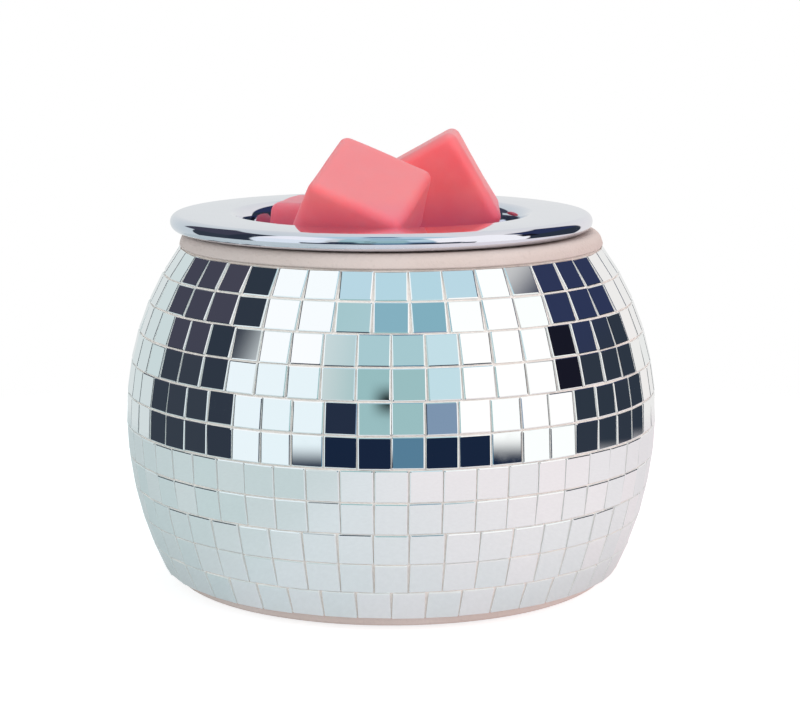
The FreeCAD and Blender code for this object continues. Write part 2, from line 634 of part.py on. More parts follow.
def make_terminals():
    body = node("terminal_block")
    block(body, "block_length", "block_width", "block_height", "0", BLOCK_Y, BASE_TOP)
    cylinder(body, "screw_radius + hole_room", "block_height", "0", BLOCK_Y, BASE_TOP, cut=True)
    caps = node("terminal_screws")
    pocket_z = f"({BASE_TOP} + block_height - terminal_depth)"
    for x in ("lead_spread", "-lead_spread"):
        for y in (f"{BLOCK_Y} - block_width / 4", f"{BLOCK_Y} + block_width / 4"):
            cylinder(body, "terminal_radius + thread_room", "terminal_depth", x, y, pocket_z, cut=True)
            cylinder(caps, "terminal_radius", "terminal_depth - slot_depth", x, y, pocket_z)
    fixing = node("block_screw")
    cylinder(fixing, "screw_radius", "block_height + base_thickness", "0", BLOCK_Y, "foot_height")
    cylinder(fixing, "screw_head", "screw_head_height", "0", BLOCK_Y, f"{BASE_TOP} + block_height")


def lead(label, side, end):
    """An insulated lead: out of the terminal block, round a bend and straight up."""
    x, y, radius = side * size("lead_spread"), size(LEAD_Y), size("lead_radius")
    bend, low, top = size("lead_bend"), size(LEAD_Z), size(end)
    start = FreeCAD.Vector(x, size(BLOCK_FRONT), low)
    into = FreeCAD.Vector(x, y + bend, low)
    middle = FreeCAD.Vector(x, y + bend * (1 - 0.5 ** 0.5), low + bend * (1 - 0.5 ** 0.5))
    out = FreeCAD.Vector(x, y, low + bend)
    path = Part.Wire([
        Part.LineSegment(start, into).toShape(),
        Part.Arc(into, middle, out).toShape(),
        Part.LineSegment(out, FreeCAD.Vector(x, y, top)).toShape(),
    ])
    section = Part.Wire(Part.Circle(start, FreeCAD.Vector(0, -1, 0), radius).toShape())
    body = doc.addObject("Part::Feature", label)
    body.Label = label
    body.Shape = path.makePipeShell([section], True, False)
    NODES.append(body)


def make_leads():
    fuse_bottom = f"({FUSE_TOP} - fuse_length)"
    lead("live_lead", -1, fuse_bottom)
    lead("neutral_lead", 1, LOWER_ELECTRODE_Z)
    fuse = node("thermal_fuse")
    cylinder(fuse, "fuse_radius", "fuse_length", "-lead_spread", LEAD_Y, fuse_bottom)
    cylinder(fuse, "fuse_pin", "fuse_pin_length", "-lead_spread", LEAD_Y, FUSE_TOP)
    sleeve = node("fuse_sleeve")
    bore = "(fuse_radius + thread_room)"
    cylinder(sleeve, f"{bore} + sleeve_wall", "fuse_length", "-lead_spread", LEAD_Y, fuse_bottom)
    cylinder(sleeve, bore, "fuse_length", "-lead_spread", LEAD_Y, fuse_bottom, cut=True)


def make_grommet():
    body = node("cord_grommet")
    flange = f"({GLAND_NECK} + gland_flange)"
    bead = f"({GLAND_NECK} + gland_bead)"
    back = f"(wall + {bead} ^ 2 / 2 / (equator_radius - wall) + fit_gap)"
    turned(body, [
        ("gland_bore", f"-({back} + gland_rim)"),
        (bead, f"-({back} + gland_rim)"),
        (bead, f"-{back}"),
        (GLAND_NECK, f"-{back}"),
        (GLAND_NECK, "0"),
        (flange, "0"),
        (flange, "gland_rim"),
        ("gland_bore", "gland_rim"),
    ])
    stand_on_wall(body, "0")


def finish():
    """Stop if anything failed, then write one file per sub-part."""
    doc.recompute()
    for thing in doc.Objects:
        if {"Invalid", "Error"} & set(thing.State):
            raise RuntimeError(f"{thing.Label} failed: {thing.State}")
    os.makedirs("parts", exist_ok=True)
    for body in NODES:
        shape = body.Shape
        if shape.isNull() or not shape.isValid() or not shape.Solids:
            raise RuntimeError(f"{body.Label} has no good shape")
    for body in NODES:
        body.Shape.exportStep(f"parts/{body.Label}.step")
        print(body.Label, len(body.Shape.Solids), "solids")


make_pot()
make_tiles()
make_base()
make_grommet()
make_cup()
make_hot_plate()
make_heater()
make_shield()
make_terminals()
make_leads()
make_wax(make_dish())
finish()
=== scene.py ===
# %% [markdown]
# # A wax warmer covered in mirror tiles
#
# The real object is a round ceramic pot. Small square mirrors are glued all over it in rows,
# a chrome dish lies loose on top, and cubes of pink wax melt in the dish. In this lesson the
# imported CAD model is the frame: it says where every piece is. We only dress it, so each new
# piece takes its place from a CAD node and rides on the same body.

# %% Load the frame
import json
import math
import bmesh
import bpy
import numpy as np
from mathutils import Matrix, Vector, noise


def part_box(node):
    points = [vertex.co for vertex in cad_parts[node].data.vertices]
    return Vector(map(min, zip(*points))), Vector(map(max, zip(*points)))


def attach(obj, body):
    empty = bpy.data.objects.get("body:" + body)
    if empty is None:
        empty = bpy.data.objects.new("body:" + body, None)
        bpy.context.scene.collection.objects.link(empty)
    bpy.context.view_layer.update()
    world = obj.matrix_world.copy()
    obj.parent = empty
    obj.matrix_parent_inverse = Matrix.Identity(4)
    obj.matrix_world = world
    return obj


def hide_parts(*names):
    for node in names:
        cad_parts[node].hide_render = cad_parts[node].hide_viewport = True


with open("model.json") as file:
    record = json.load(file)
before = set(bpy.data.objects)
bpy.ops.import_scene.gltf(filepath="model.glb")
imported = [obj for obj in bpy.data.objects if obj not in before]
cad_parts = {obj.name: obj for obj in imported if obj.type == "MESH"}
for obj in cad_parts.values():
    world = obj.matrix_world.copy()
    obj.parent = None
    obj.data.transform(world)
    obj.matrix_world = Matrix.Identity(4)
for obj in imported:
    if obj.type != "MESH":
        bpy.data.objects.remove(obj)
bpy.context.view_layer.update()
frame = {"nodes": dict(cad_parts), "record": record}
nodes = frame["nodes"]
scene = bpy.context.scene
MM = 0.001

# %% [markdown]
# ## The camera
#
# The photograph was taken a little from above with a long lens, so the rows of tiles bow only
# slightly. A camera is placed half a metre in front, looking down by about ten degrees.

# %% Camera
camera_data = bpy.data.cameras.new("photo_camera")
camera_data.sensor_width = 36.0
camera_data.lens = 99.6
camera_data.clip_start = 0.01
camera = bpy.data.objects.new("photo_camera", camera_data)
camera.location = (0.0, -0.545, 0.147)
camera.rotation_euler = (math.radians(90) - 0.167, 0.0, -0.004)
scene.collection.objects.link(camera)
scene.camera = camera
scene.view_settings.view_transform = "Standard"
print("lens", camera_data.lens, "mm")

# %% [markdown]
# ## Writing shader maths as sums
#
# A material is a tree of nodes, and wiring it by hand hides the idea behind it. This small class
# wraps one socket, so that `1 - mask * 0.5` adds the Math nodes by itself. Every other node
# comes from its `node` method: the type, the settings, and what goes into its sockets.


# %% A socket that can be added and multiplied
class Shade:
    def __init__(self, tree, socket=None):
        self.tree = tree
        self.socket = socket

    def node(self, kind, settings=None, sockets=None, output=0):
        """Add a node, and wrap one of its outputs."""
        made = self.tree.nodes.new(kind)
        for name, value in (settings or {}).items():
            if name == "stops":
                self.set_stops(made.color_ramp.elements, value)
            else:
                setattr(made, name, value)
        for name, value in (sockets or {}).items():
            if isinstance(value, Shade):
                self.tree.links.new(value.socket, made.inputs[name])
            else:
                made.inputs[name].default_value = value
        return Shade(self.tree, made.outputs[output])

    @staticmethod
    def set_stops(elements, stops):
        while len(elements) < len(stops):
            elements.new(1.0)
        for element, (position, color) in zip(elements, stops):
            element.position = position
            element.color = (*color, 1.0)

    def math(self, operation, first, second=0.0):
        return self.node("ShaderNodeMath", {"operation": operation}, {0: first, 1: second})

    def __add__(self, other):
        return self.math("ADD", self, other)

    def __rsub__(self, other):
        return self.math("SUBTRACT", other, self)

    def __mul__(self, other):
        return self.math("MULTIPLY", self, other)

    __radd__ = __add__

    def blend(self, share, first, second):
        """A colour between two. Share is the part of the second, a number or a Shade."""
        colors = [(*c, 1.0) if isinstance(c, tuple) else c for c in (first, second)]
        # 6 and 7 are the Mix node's colour inputs, and 2 is its colour output
        sockets = {0: share, 6: colors[0], 7: colors[1]}
        return self.node("ShaderNodeMix", {"data_type": "RGBA"}, sockets, output=2)

    def mix(self, first, second):
        """A colour between two: this value is the share of the second."""
        return self.blend(self, first, second)

    def step(self, low, high):
        """A soft step from 0 to 1 as this value goes from low to high."""
        settings = {"interpolation_type": "SMOOTHSTEP"}
        sockets = {"Value": self, "From Min": low, "From Max": high}
        return self.node("ShaderNodeMapRange", settings, sockets)

    def band(self, low, high, soft):
        """1 between low and high, with soft edges."""
        return self.step(low - soft, low + soft) * (1 - self.step(high - soft, high + soft))


def new_finish(name):
    """An empty material: the material, its shader and a Shade to build with."""
    material = bpy.data.materials.new(name)
    material.use_nodes = True
    return material, material.node_tree.nodes["Principled BSDF"], Shade(material.node_tree)


def plug(shader, **sockets):
    """Feed a shader's sockets: an underscore in a name stands for a blank."""
    for name, value in sockets.items():
        socket = shader.inputs[name.replace("_", " ")]
        if isinstance(value, Shade):
            value.tree.links.new(value.socket, socket)
        else:
            socket.default_value = value


def spots(shade, scale, detail=3.0, stretch=(1, 1, 1)):
    """Cloudy noise that sits on the piece itself."""
    place = shade.node("ShaderNodeTexCoord", output="Object")
    place = shade.node("ShaderNodeMapping", sockets={"Vector": place, "Scale": stretch})
    sockets = {"Vector": place, "Scale": scale, "Detail": detail}
    return shade.node("ShaderNodeTexNoise", sockets=sockets)


def bump(shade, height, strength, distance):
    """A normal that makes the surface look as uneven as the height is."""
    sockets = {"Height": height, "Strength": strength, "Distance": distance}
    return shade.node("ShaderNodeBump", sockets=sockets)


def attribute(shade, name):
    """A number that the mesh itself carries."""
    return shade.node("ShaderNodeAttribute", {"attribute_name": name}, output="Fac")


def grained(name, dark, light, scale, rough, depth, metal=0.0, stretch=(1, 1, 1)):
    """A finish with fine grain between two colours, and slow clouds over it."""
    material, shader, shade = new_finish(name)
    grain = spots(shade, scale, 4.0, stretch)
    cloud = spots(shade, 40.0)
    tint = (grain.step(0.3, 0.7) * 0.6 + cloud * 0.4).mix(dark, light)
    plug(shader, Base_Color=tint, Metallic=metal, Roughness=rough + grain * 0.12)
    plug(shader, Normal=bump(shade, grain, depth, 0.0002))
    return material


print("shader helpers ready")

# %% [markdown]
# ## The studio
#
# Mirrors have no colour of their own: they show the room. So we ask what room would look like
# that. There is a dark flag on each side, a white soft box on each side of the camera, pale
# blue above it, and darkness below the edge of the table. All of that is painted into the
# world by direction, as azimuth and elevation. Only the camera itself sees plain white.

# %% Studio reflections in the world
world = bpy.data.worlds.new("studio")
world.use_nodes = True
scene.world = world
sky = Shade(world.node_tree)
toward = sky.node("ShaderNodeTexCoord", output="Generated")
axes = sky.node("ShaderNodeSeparateXYZ", sockets={0: toward})
side_x, side_y, side_z = (Shade(sky.tree, axes.socket.node.outputs[i]) for i in range(3))
azimuth = sky.math("ARCTAN2", side_x, 0 - side_y) * math.degrees(1)
elevation = sky.math("ARCSINE", side_z) * math.degrees(1)

# each card: azimuth from and to, elevation from and to, softness, colour
CARDS = [
    # the wall behind the camera grows paler upwards, with a high shelf and a pale curtain on it
    (-23, 29, -20, 90, 1.5, (0.34, 0.54, 0.56)),
    (-23, 29, 25, 90, 5.0, (0.44, 0.63, 0.68)),
    (-7, 26, 39, 50, 2.0, (0.25, 0.46, 0.56)),
    (15, 30, 12, 38, 1.5, (0.60, 0.78, 0.85)),
    # the ceiling with a beam
    (-62, 60, 51, 90, 3.0, (0.52, 0.72, 0.82)),
    (-20, 20, 66, 80, 3.0, (0.09, 0.14, 0.26)),
    # the soft boxes, the left one brighter in its upper half
    (-73, -30, -20, 50, 1.5, (0.90, 0.97, 1.02)),
    (-73, -38, 20, 58, 3.0, (1.06, 1.05, 1.08)),
    (29, 85, -20, 52, 1.5, (1.12, 1.09, 1.08)),
    # the left flag, grey at the top and darkest along its inner edge
    (-121, -73.9, -20, 47, 0.5, (0.04, 0.05, 0.07)),
    (-135, -73.9, 10.5, 47, 1.5, (0.06, 0.06, 0.09)),
    (-89, -73.9, -20, 47, 2.0, (0.03, 0.04, 0.06)),
    # the right flag, blue at the top, and its black stand
    (86, 136, -20, 43.2, 0.6, (0.03, 0.04, 0.06)),
    (86, 136, 14, 43.2, 3.0, (0.03, 0.04, 0.10)),
    (81, 93, 7, 24, 1.0, (0.01, 0.01, 0.02)),
    # two chairs at the table, and the dark floor that lies lower on both sides
    (-28, -13, -2, 9, 2.0, (0.02, 0.03, 0.06)),
    (13, 29, -2, 9, 1.5, (0.23, 0.32, 0.46)),
    (-32, 44, -20, -3, 2.0, (0.01, 0.02, 0.05)),
    (-44, -28, -20, -7.5, 0.35, (0.01, 0.02, 0.05)),
    (44, 52, -20, -8.5, 0.35, (0.01, 0.02, 0.05)),
    (-4, 15, -20, -3, 2.5, (0.10, 0.22, 0.33)),
    # the camera on its tripod
    (-8.9, -5.5, 13, 17.75, 0.3, (0.0, 0.0, 0.0)),
    (-5.0, -2.5, 7.5, 11, 0.3, (0.0, 0.0, 0.0)),
]
room = (side_x * 0.5 + 0.5).mix((0.62, 0.71, 0.73), (0.98, 0.92, 0.90))
for az_from, az_to, el_from, el_to, soft, color in CARDS:
    mask = azimuth.band(az_from, az_to, soft) * elevation.band(el_from, el_to, soft)
    room = mask.mix(room, color)
is_camera = sky.node("ShaderNodeLightPath", output="Is Camera Ray")
background = world.node_tree.nodes["Background"]
sky.tree.links.new(is_camera.mix(room, (1.0, 1.0, 1.0)).socket, background.inputs["Color"])
print("studio cards:", len(CARDS))

# %% [markdown]
# ## The table and the lamps
#
# A pale round table top is enough: it fades out some 20 cm from the pot, where the tiles of the
# middle row begin to see past its edge. For the camera it is lifted to white, and the
# soft shadow of the pot stays on it. Painted light tints it cool on the left and warm on the right,
# and a painted glow lifts it for the other rays. From below it is clear, so the base can be looked
# at.
# Three large lamps give the wax and the ceramic their shape. They are hidden from reflections,
# because the soft boxes in the world already show there.


# %% Table top and lamps
# painted light: the table is cooler on the left and warmer on the right, as the lamps colour it
TABLE_LIGHT_TINTS = [(0.0, (0.58, 0.64, 0.645)), (0.22, (0.72, 0.74, 0.76)), (1.0, (0.85, 0.775, 0.785))]
TABLE_GLOW, CAMERA_LIFT = 0.36, (0.76, 0.76, 0.76)
TABLE_DROP = 0.2  # so far under the foot, in mm
FADE_FROM, FADE_TO = 0.80, 0.99  # parts of the table's radius
POT_MIDDLE = Vector((0, 0, 0.06))


def make_table(radius):
    mesh = bpy.data.meshes.new("table_top")
    table = bpy.data.objects.new("table_top", mesh)
    scene.collection.objects.link(table)
    disc = bmesh.new()
    bmesh.ops.create_circle(disc, cap_ends=True, segments=96, radius=radius)
    bmesh.ops.translate(disc, vec=(0, 0, -TABLE_DROP * MM), verts=disc.verts)
    disc.to_mesh(mesh)
    disc.free()
    material, shader, shade = new_finish("pale_table")
    place = shade.node("ShaderNodeTexCoord", output="Object")
    away = shade.node("ShaderNodeVectorMath", {"operation": "LENGTH"}, {0: place}, "Value")
    across = shade.node("ShaderNodeSeparateXYZ", sockets={0: place}).step(-0.09, 0.09)
    tint = shade.node("ShaderNodeValToRGB", {"stops": TABLE_LIGHT_TINTS}, {0: across})
    grain = spots(shade, 900.0)
    plug(shader, Base_Color=(0.30 + grain * 0.1).mix(tint, (0.0, 0.0, 0.0)), Roughness=0.6)
    plug(shader, Specular_IOR_Level=0.0)
    seen = shade.node("ShaderNodeLightPath", output="Is Camera Ray")
    # a painted glow for all rays but the camera's: it lifts the pot's shadow and brightens the
    # table in the mirrors
    glow = shade.blend(TABLE_GLOW, (0.0, 0.0, 0.0), tint)
    plug(shader, Emission_Color=seen.mix(glow, CAMERA_LIFT), Emission_Strength=1.0)
    clear = shade.node("ShaderNodeBsdfTransparent")
    from_below = shade.node("ShaderNodeNewGeometry", output="Backfacing")
    shown = (1 - away.step(radius * FADE_FROM, radius * FADE_TO)) * (1 - from_below)
    both = shade.node("ShaderNodeMixShader", sockets={0: shown, 1: clear})
    shade.tree.links.new(shader.outputs[0], both.socket.node.inputs[2])
    shade.tree.links.new(both.socket, shade.tree.nodes["Material Output"].inputs["Surface"])
    mesh.materials.append(material)


def make_lamp(name, spot, width, watts, color):
    data = bpy.data.lights.new(name, "AREA")
    data.size = width
    data.energy = watts
    data.color = color
    lamp = bpy.data.objects.new(name, data)
    lamp.location = spot
    lamp.rotation_euler = (POT_MIDDLE - Vector(spot)).to_track_quat("-Z", "Y").to_euler()
    lamp.visible_glossy = False
    lamp.visible_camera = False
    scene.collection.objects.link(lamp)


make_table(radius=0.285)
make_lamp("lamp_left", (-0.9, -0.7, 0.45), width=0.7, watts=4.2, color=(0.92, 1.0, 0.98))
make_lamp("lamp_right", (0.9, -0.7, 0.45), width=0.7, watts=5.2, color=(1.0, 0.94, 0.94))
make_lamp("lamp_top", (0.0, 0.0, 1.1), width=0.9, watts=2.6, color=(1.0, 0.99, 0.98))

# %% [markdown]
# ## Mesh helpers
#
# The pot and the dish are turned shapes: an outline of radius and height goes once around the
# axis. The corners of the outline are rounded first, and a bead is an arc in it. Everything is
# written in millimetres and becomes metres in the mesh, because the frame is in metres.


# %% Outlines and turned shapes
def arc(x, z, radius, start, end, steps):
    """Points on an arc, angles in degrees."""
    turns = np.radians(np.linspace(start, end, steps + 1))
    return [(x + radius * math.cos(t), z + radius * math.sin(t)) for t in turns]


def soften(before, corner, after, radius, steps=10):
    """The arc that rounds a corner between two neighbours."""
    corner = Vector(corner)
    back, ahead = (Vector(before) - corner).normalized(), (Vector(after) - corner).normalized()
    half = back.angle(ahead) / 2
    reach = radius / math.tan(half)
    center = corner + (back + ahead).normalized() * (radius / math.sin(half))
    first, last = corner + back * reach - center, corner + ahead * reach - center
    sweep = first.angle_signed(last)
    points = []
    for step in range(steps + 1):
        angle = -sweep * step / steps
        spin = Vector((first.x * math.cos(angle) - first.y * math.sin(angle),
                       first.x * math.sin(angle) + first.y * math.cos(angle)))
        points.append(tuple(center + spin))
    return points


def turn(name, outline, segments, closed, axis_x=0.0):
    """A mesh turned from an outline. Points on the axis become poles."""
    shape = bmesh.new()
    angles = [2 * math.pi * k / segments for k in range(segments)]
    rings = []
    for radius, height in outline:
        ring = [(axis_x + radius * math.cos(a), radius * math.sin(a), height) for a in angles]
        if radius < 1e-6:
            ring = [(axis_x, 0, height)]
        rings.append([shape.verts.new([c * MM for c in spot]) for spot in ring])
    pairs = list(zip(rings, rings[1:])) + ([(rings[-1], rings[0])] if closed else [])
    for low, high in pairs:
        for k in range(segments):
            corners = [low[k % len(low)], low[(k + 1) % len(low)],
                       high[(k + 1) % len(high)], high[k % len(high)]]
            shape.faces.new(list(dict.fromkeys(corners)))
    bmesh.ops.recalc_face_normals(shape, faces=shape.faces)
    return add_piece(name, shape)


def add_piece(name, shape, sharp=35.0):
    """A smooth-shaded object from a bmesh, with creases at its sharp edges."""
    mesh = bpy.data.meshes.new(name)
    shape.to_mesh(mesh)
    shape.free()
    piece = bpy.data.objects.new(name, mesh)
    scene.collection.objects.link(piece)
    crease(mesh, sharp)
    return piece


def crease(mesh, sharp):
    """Shade a mesh smooth, but for edges that are sharper than this angle."""
    mesh.polygons.foreach_set("use_smooth", [True] * len(mesh.polygons))
    mesh.set_sharp_from_angle(angle=math.radians(sharp))


def roughen(piece, *waves):
    """Push a round skin in and out by slow noise. Each wave: how fine, and how high in mm."""
    for vertex in piece.data.vertices:
        outward = Vector((vertex.co.x, vertex.co.y, 0)).normalized()
        lump = sum(noise.noise(vertex.co * fine) * high for fine, high in waves)
        vertex.co += outward * lump * MM


def settle(piece):
    """Turn what the modifiers show into a plain mesh."""
    shown = piece.evaluated_get(bpy.context.evaluated_depsgraph_get())
    mesh = bpy.data.meshes.new_from_object(shown)
    piece.modifiers.clear()
    piece.data = mesh
    return mesh


def dress(piece, body, slot, finish, *replaced):
    """Give a finished piece its material and its place in the frame."""
    piece.data.materials.clear()
    piece.data.materials.append(finish)
    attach(piece, body)
    if replaced:
        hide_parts(*replaced)
    print(piece.name, len(piece.data.polygons), "faces")


print("mesh helpers ready")

# %% [markdown]
# ## The ceramic pot
#
# The pot is slip-cast: its bare shoulder and foot are beige and dull, with fine grain, and
# a few larger waves from the mould. A turned shape with many segments is smoother than the
# CAD mesh. The hole for the cord is cut with a Boolean, and the waves are moved into the
# mesh, so the outline has them too.


# %% Pot finish
def make_ceramic():
    material, shader, shade = new_finish("bare_ceramic")
    cloud = spots(shade, 35.0, 4.0)
    grain = spots(shade, 1400.0, 2.0)
    tint = cloud.step(0.35, 0.65).mix((0.68, 0.545, 0.495), (0.72, 0.59, 0.545))
    tint = (grain.step(0.60, 0.72) * 0.25).mix(tint, (0.55, 0.43, 0.38))
    plug(shader, Base_Color=tint, Roughness=0.55 + cloud * 0.3)
    plug(shader, Normal=bump(shade, grain + cloud * 0.5, 0.35, 0.0004))
    return material


ceramic = make_ceramic()
print(ceramic.name)

# %% Pot shape
EQUATOR_R, EQUATOR_Z = 64.15, 41.5
UPPER_R, LOWER_R, WALL = 68.3, 84.1, 4.5
GLAND_ANGLE, GLAND_R = -21.19, 4.55
# heights: the foot, the base plate's seat, the floor, the ledge, the cup's seat, the mouth
FOOT_Z, PLATE_Z, FLOOR_Z, LEDGE_Z, SEAT_Z, MOUTH_Z = 1.0, 4.0, 7.4, 81.8, 84.5, 86.8
PLATE_R, FLOOR_R, LEDGE_R, MOUTH_R = 49.0, 45.0, 42.0, 44.0
BAND_LOW, BAND_HIGH = 3.9, 83.4  # where the tiles begin and end


def wall_angle(height, radius):
    return math.degrees(math.asin((height - EQUATOR_Z) / radius))


def wall_arc(radius, thickness, low, high, steps):
    """Part of the wall's outline between two heights, outside or inside."""
    curve = radius - thickness
    start, end = wall_angle(low, curve), wall_angle(high, curve)
    return arc(EQUATOR_R - radius, EQUATOR_Z, curve, start, end, steps)


def make_pot():
    outside = wall_arc(LOWER_R, 0, FOOT_Z, EQUATOR_Z, 40)
    foot = soften((PLATE_R, FOOT_Z), outside[0], outside[3], 2.0)
    outside = foot + outside[3:] + wall_arc(UPPER_R, 0, EQUATOR_Z, BAND_HIGH, 40)[1:]
    neck, brow = (52.1, 84.4), (51.2, MOUTH_Z)
    shoulder = soften(outside[-1], (52.26, 83.42), neck, 0.4, 6)
    shoulder += soften(neck, brow, (47.0, MOUTH_Z), 2.6, 14)
    shoulder += soften((48.0, MOUTH_Z), (MOUTH_R, MOUTH_Z), (MOUTH_R, SEAT_Z), 0.5, 4)
    seat = [(MOUTH_R, SEAT_Z), (LEDGE_R, SEAT_Z), (LEDGE_R, LEDGE_Z)]
    inside = wall_arc(UPPER_R, WALL, EQUATOR_Z, LEDGE_Z, 16)[::-1]
    inside += wall_arc(LOWER_R, WALL, FLOOR_Z, EQUATOR_Z, 16)[::-1][1:]
    floor = [(FLOOR_R, FLOOR_Z), (FLOOR_R, PLATE_Z), (PLATE_R, PLATE_Z), (PLATE_R, FOOT_Z)]
    pot = turn("ceramic_pot", outside + shoulder + seat + inside + floor, 192, closed=True)
    roughen(pot, (60, 0.12))
    drill_gland(pot, GLAND_R)
    return pot


def drill_gland(piece, radius):
    """Cut a round hole for the cord grommet through the back wall."""
    angle = math.radians(GLAND_ANGLE)
    out = Vector((0, math.cos(angle), math.sin(angle)))
    spot = Vector((0, EQUATOR_R - LOWER_R, EQUATOR_Z)) + out * LOWER_R
    shape = bmesh.new()
    bmesh.ops.create_cone(shape, cap_ends=True, segments=48, depth=18 * MM,
                          radius1=radius * MM, radius2=radius * MM)
    shape.transform(out.to_track_quat("Z", "Y").to_matrix().to_4x4())
    bmesh.ops.translate(shape, vec=spot * MM, verts=shape.verts)
    cutter = add_piece("gland_cutter", shape)
    hole = piece.modifiers.new("hole", "BOOLEAN")
    hole.object = cutter
    settle(piece)
    crease(piece.data, 35.0)
    bpy.data.objects.remove(cutter)


pot = make_pot()
dress(pot, "pot", "pot_ceramic", ceramic, "pot_shell")

# %% [markdown]
# The tiles are pressed into a bed of pale glue. It rises between them, so the joints are
# shallow and light. The bed is a thin skin on the pot, a little lower than the
# mirrors' faces, and slow noise makes it as uneven as glue is.


# %% Glue between the tiles
GLUE_DEPTH, GLUE_SINK, GLUE_HOLE_R = 1.08, 0.3, 7.0


def make_glue():
    front = wall_arc(LOWER_R, -GLUE_DEPTH, BAND_LOW, EQUATOR_Z, 44)
    front += wall_arc(UPPER_R, -GLUE_DEPTH, EQUATOR_Z, BAND_HIGH, 48)[1:]
    back = wall_arc(UPPER_R, GLUE_SINK, EQUATOR_Z, BAND_HIGH, 12)[::-1]
    back += wall_arc(LOWER_R, GLUE_SINK, BAND_LOW, EQUATOR_Z, 12)[::-1][1:]
    glue = turn("glue_bed", front + back, 256, closed=True)
    roughen(glue, (240, 0.13), (900, 0.05))
    drill_gland(glue, GLUE_HOLE_R)
    return glue


glue = make_glue()
glue_finish = grained("tile_glue", (0.79, 0.69, 0.64), (0.92, 0.83, 0.78), 1400.0, 0.6, 0.4)
dress(glue, "pot", "pot_ceramic", glue_finish)

# %% [markdown]
# ## The mirror tiles
#
# About five hundred little mirrors are glued on by hand, so no two lie quite alike: each is
# tilted by a degree or so, and that is why neighbours show different parts of the room. One
# Geometry Nodes tree makes a bevelled tile and puts it on points, one point for each CAD tile.
# The seed is fixed, so the same tiles tilt the same way every time.


# %% Tile finish
def make_mirror():
    material, shader, shade = new_finish("silvered_glass")
    edge = attribute(shade, "glass_edge")
    tone = attribute(shade, "tile_tone")
    haze = spots(shade, 260.0, 5.0)
    silver = tone.mix((0.86, 0.92, 0.92), (0.94, 0.95, 0.95))
    plug(shader, Base_Color=edge.mix(silver, (0.85, 0.86, 0.85)))
    plug(shader, Metallic=1 - edge)
    plug(shader, Roughness=haze.step(0.45, 0.85) * 0.03 + 0.012 + edge * 0.22)
    return material


mirror = make_mirror()
print(mirror.name)


# %% Where the tiles sit
TILE_SIZE, TILE_THICK, TILE_JOINT = 7.1, 1.3, 0.13
TILE_CORNER, TILE_BEVEL, BEVEL_WIDTH = 0.15, 0.075, 0.2


def tile_places(node):
    """Each CAD tile's back middle, its outward normal and its upward edge."""
    shape = bmesh.new()
    shape.from_mesh(node.data)
    bmesh.ops.remove_doubles(shape, verts=shape.verts, dist=1e-6)
    shape.faces.ensure_lookup_table()
    seen, places = set(), []
    for face in shape.faces:
        if face.index in seen:
            continue
        island, queue = [], [face]
        seen.add(face.index)
        while queue:
            current = queue.pop()
            island.append(current)
            for edge in current.edges:
                for other in edge.link_faces:
                    if other.index not in seen:
                        seen.add(other.index)
                        queue.append(other)
        corners = {vertex for part in island for vertex in part.verts}
        middle = sum((vertex.co for vertex in corners), Vector()) / len(corners)
        radial = Vector((middle.x, middle.y, 0)).normalized()
        normal = max((part.normal for part in island), key=lambda n: n.dot(radial)).copy()
        along = Vector((0, 0, 1)).cross(radial)
        places.append((middle - normal * TILE_THICK * MM / 2, normal, normal.cross(along)))
    shape.free()
    return places


def tile_widths(places):
    """How much wider than square each tile is, so that only a thin joint stays in its row."""
    widths = []
    for spot, normal, _ in places:
        row = [other for other, *_ in places if other != spot and abs(other.z - spot.z) < 2 * MM]
        pitch = min((other - spot).length for other in row)
        taper = TILE_SIZE * MM / 2 * abs(normal.z) / spot.xy.length
        width = pitch * (1 - taper) - TILE_JOINT * MM
        widths.append(Vector((width / (TILE_SIZE * MM), 1 + TILE_JOINT / TILE_SIZE, 1.0)))
    return widths


strip_names = sorted(name for name in nodes if name.startswith("mirror_strip"))
strip_places = {name: tile_places(nodes[name]) for name in strip_names}
print({name: len(places) for name, places in strip_places.items()})


# %% [markdown]
# The tree itself: a square with clipped corners is filled and extruded twice. The second, small
# extrusion is scaled inwards and gives the bevel that catches the light. The front and the bevel
# are silver and all the rest is glass edge, which a named attribute tells the material.


